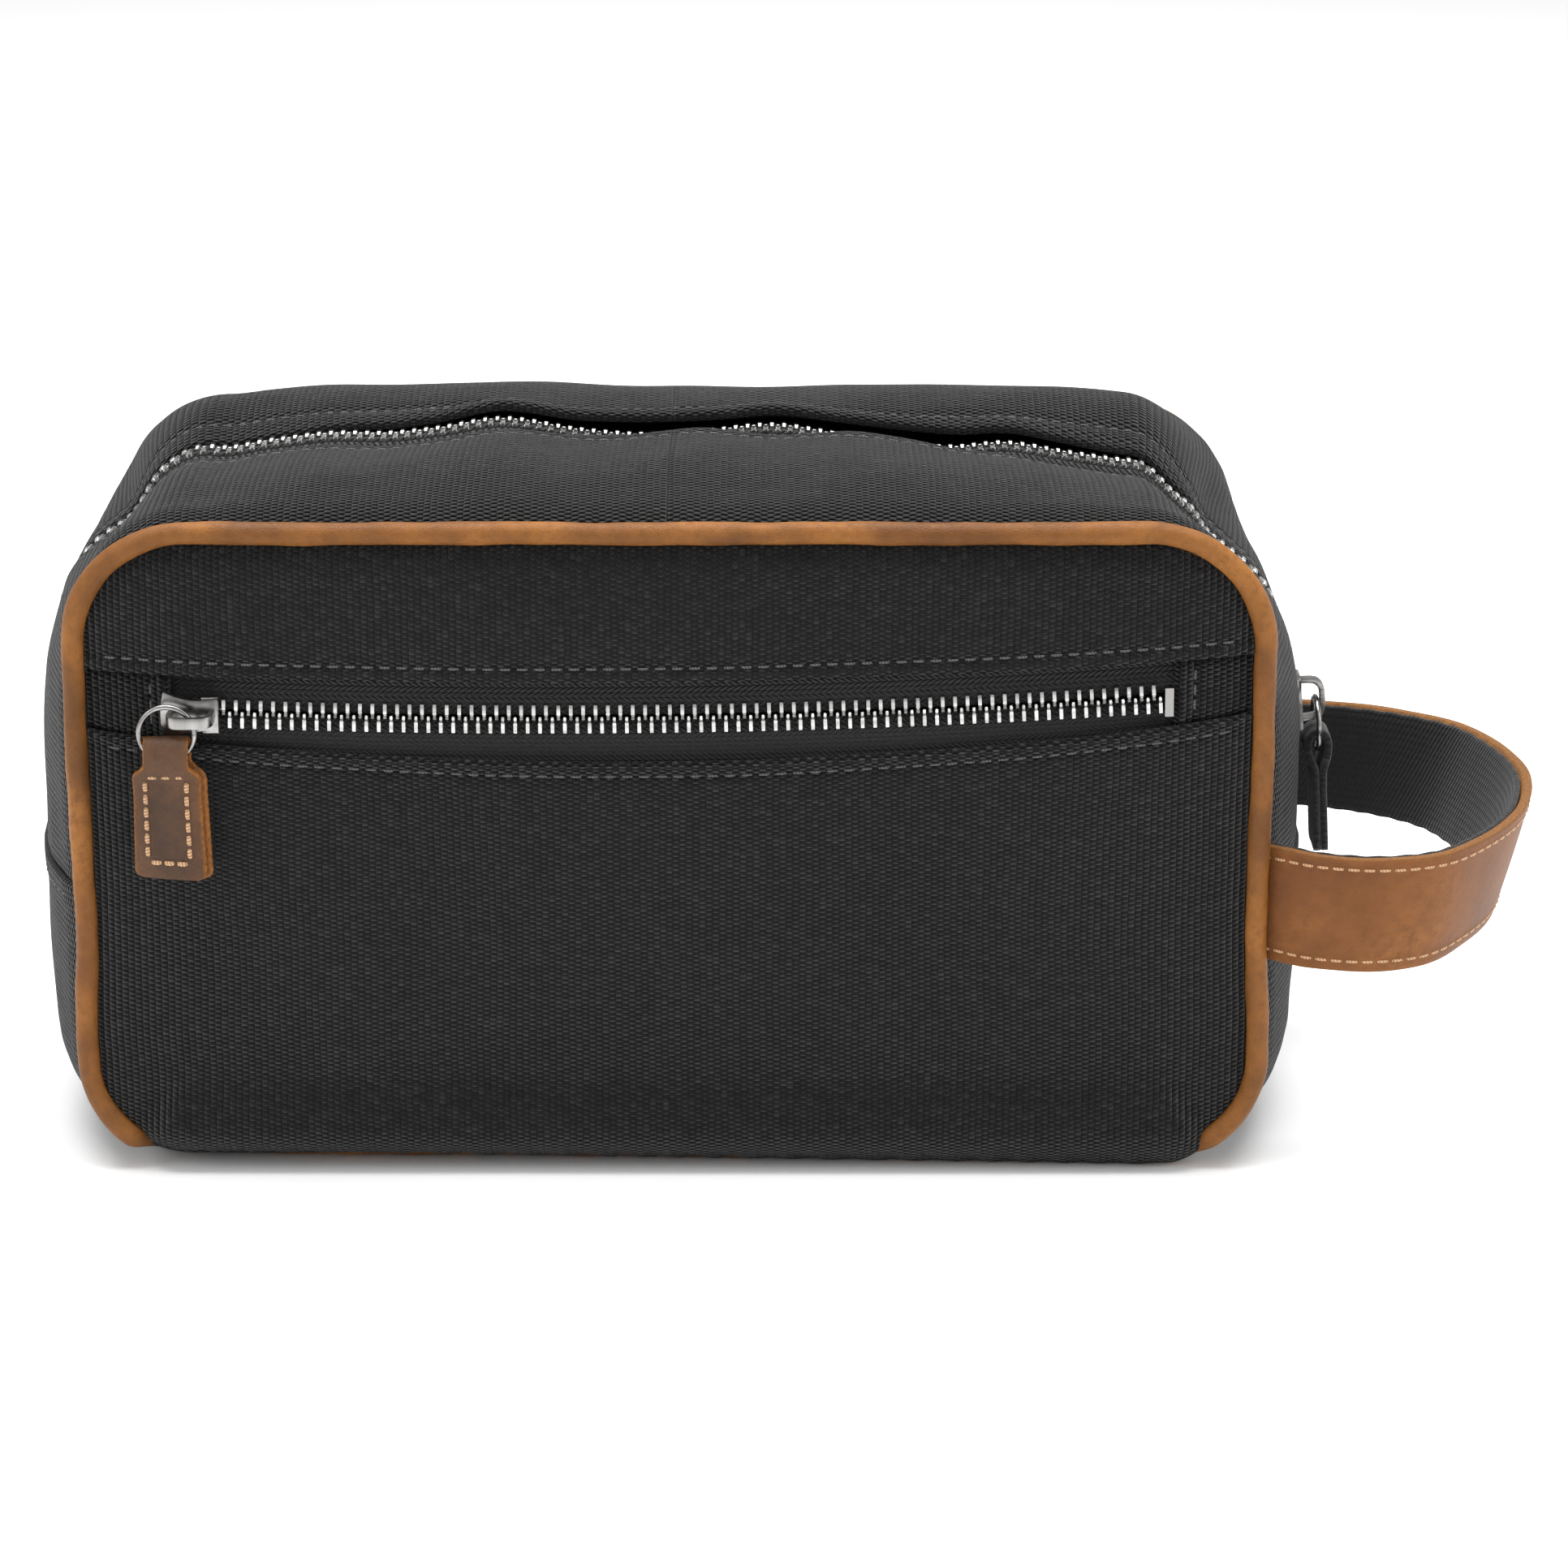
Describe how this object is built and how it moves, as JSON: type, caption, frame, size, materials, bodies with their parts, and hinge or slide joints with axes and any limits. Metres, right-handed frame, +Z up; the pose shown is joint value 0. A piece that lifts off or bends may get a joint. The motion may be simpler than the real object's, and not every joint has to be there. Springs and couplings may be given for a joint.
{
  "type": "shaving kit bag",
  "caption": "Boxy canvas shaving kit bag with leather piping, a zip over the top, a zipped front pocket and a leather side handle",
  "frame": {"origin": "middle of the flat floor of the bag, on the surface that it stands on; the handle isn't counted", "axes": "+X along the bag towards the handle, +Y to the back, +Z up; the zipped front pocket faces -Y"},
  "size_m": [0.3289, 0.1211, 0.1545],
  "materials": {
    "canvas": "heavy black canvas, plain weave, matt",
    "lining": "thin dark lining cloth",
    "zip_tape": "black woven zip tape with a fine herringbone",
    "zip_metal": "antique silver with darker recesses",
    "piping_leather": "tan leather, smooth and slightly waxy",
    "strap_leather": "tan waxed leather with raw edges and light thread",
    "tab_leather": "brown waxed leather with dark marks and raw orange edges",
    "tab_cloth": "black webbing",
    "webbing": "black ribbed webbing"
  },
  "bodies": {
    "bag": {"front_panel_upper": "canvas", "front_panel_lower": "canvas", "front_zip_end_left": "canvas", "front_zip_end_right": "canvas", "back_panel": "canvas", "bottom_gusset": "canvas", "side_gusset_left_front": "canvas", "side_gusset_right_front": "canvas", "side_gusset_left_rear": "canvas", "side_gusset_right_rear": "canvas", "seam_binding_front": "lining", "seam_binding_rear": "lining", "main_lining": "lining", "pocket_lining": "lining", "main_zip_tape_left_front": "zip_tape", "main_zip_tape_right_front": "zip_tape", "main_zip_tape_left_rear": "zip_tape", "main_zip_tape_right_rear": "zip_tape", "front_zip_tape_upper": "zip_tape", "front_zip_tape_lower": "zip_tape", "main_zip_teeth_left_front": "zip_metal", "main_zip_teeth_right_front": "zip_metal", "main_zip_teeth_left_rear": "zip_metal", "main_zip_teeth_right_rear": "zip_metal", "front_zip_teeth_upper": "zip_metal", "front_zip_teeth_lower": "zip_metal", "main_zip_end_stop": "zip_metal", "main_zip_top_stop_front": "zip_metal", "main_zip_top_stop_rear": "zip_metal", "front_zip_end_stop": "zip_metal", "front_zip_top_stop_lower": "zip_metal", "front_zip_top_stop_upper": "zip_metal", "piping_front": "piping_leather", "piping_rear": "piping_leather", "handle_anchor_front": "strap_leather", "handle_anchor_rear": "strap_leather"},
    "top_flap_front": {"top_gusset_front": "canvas", "top_lining_front": "lining", "main_zip_tape_top_front": "zip_tape", "main_zip_teeth_top_front": "zip_metal"},
    "top_flap_rear": {"top_gusset_rear": "canvas", "top_lining_rear": "lining", "main_zip_tape_top_rear": "zip_tape", "main_zip_teeth_top_rear": "zip_metal"},
    "main_slider": {"main_slider_body": "zip_metal", "main_slider_bridge": "zip_metal"},
    "main_ring": {"main_pull_ring": "zip_metal"},
    "main_tab": {"main_pull_tab": "tab_cloth"},
    "front_slider": {"front_slider_body": "zip_metal", "front_slider_bridge": "zip_metal"},
    "front_ring": {"front_pull_ring": "zip_metal"},
    "front_tab": {"front_pull_tab": "tab_leather"},
    "handle": {"handle_leather": "strap_leather", "handle_webbing": "webbing"}
  },
  "joints": [
    {"name": "top_flap_front_fold", "type": "hinge", "parent": "bag", "child": "top_flap_front", "pos_m": [0, -0.0501, 0.1451], "axis": [1, 0, 0], "range_deg": [0, 75]},
    {"name": "top_flap_rear_fold", "type": "hinge", "parent": "bag", "child": "top_flap_rear", "pos_m": [0, 0.0501, 0.1451], "axis": [-1, 0, 0], "range_deg": [0, 75]},
    {"name": "main_slider_travel", "type": "slide", "parent": "bag", "child": "main_slider", "axis": [-0.0595, 0, 0.9982], "range_m": [0, 0.014], "deforming": ["main_zip_teeth_right_front", "main_zip_teeth_right_rear"]},
    {"name": "main_ring_swing", "type": "hinge", "parent": "main_slider", "child": "main_ring", "pos_m": [0.14239, 0, 0.09037], "axis": [0, -1, 0], "range_deg": [0, 35]},
    {"name": "main_tab_flip", "type": "hinge", "parent": "main_ring", "child": "main_tab", "pos_m": [0.14298, 0, 0.08049], "axis": [0, -1, 0], "range_deg": [0, 20]},
    {"name": "front_slider_travel", "type": "slide", "parent": "bag", "child": "front_slider", "axis": [0.9999, 0, 0.0125], "range_m": [0, 0.192], "deforming": ["front_zip_teeth_upper", "front_zip_teeth_lower"]},
    {"name": "front_ring_swing", "type": "hinge", "parent": "front_slider", "child": "front_ring", "pos_m": [-0.1, -0.061, 0.1046], "axis": [-0.0125, 0, 0.9999], "range_deg": [0, 25]},
    {"name": "front_tab_flip", "type": "hinge", "parent": "front_ring", "child": "front_tab", "pos_m": [-0.10524, -0.061, 0.09813], "axis": [-1, 0, 0], "range_deg": [0, 25]},
    {"name": "handle_tilt", "type": "hinge", "parent": "bag", "child": "handle", "pos_m": [0.1288, 0, 0.061], "axis": [0, 1, 0], "range_deg": [-20, 20], "stiffness_Nm_per_rad": 0.15}
  ]
}
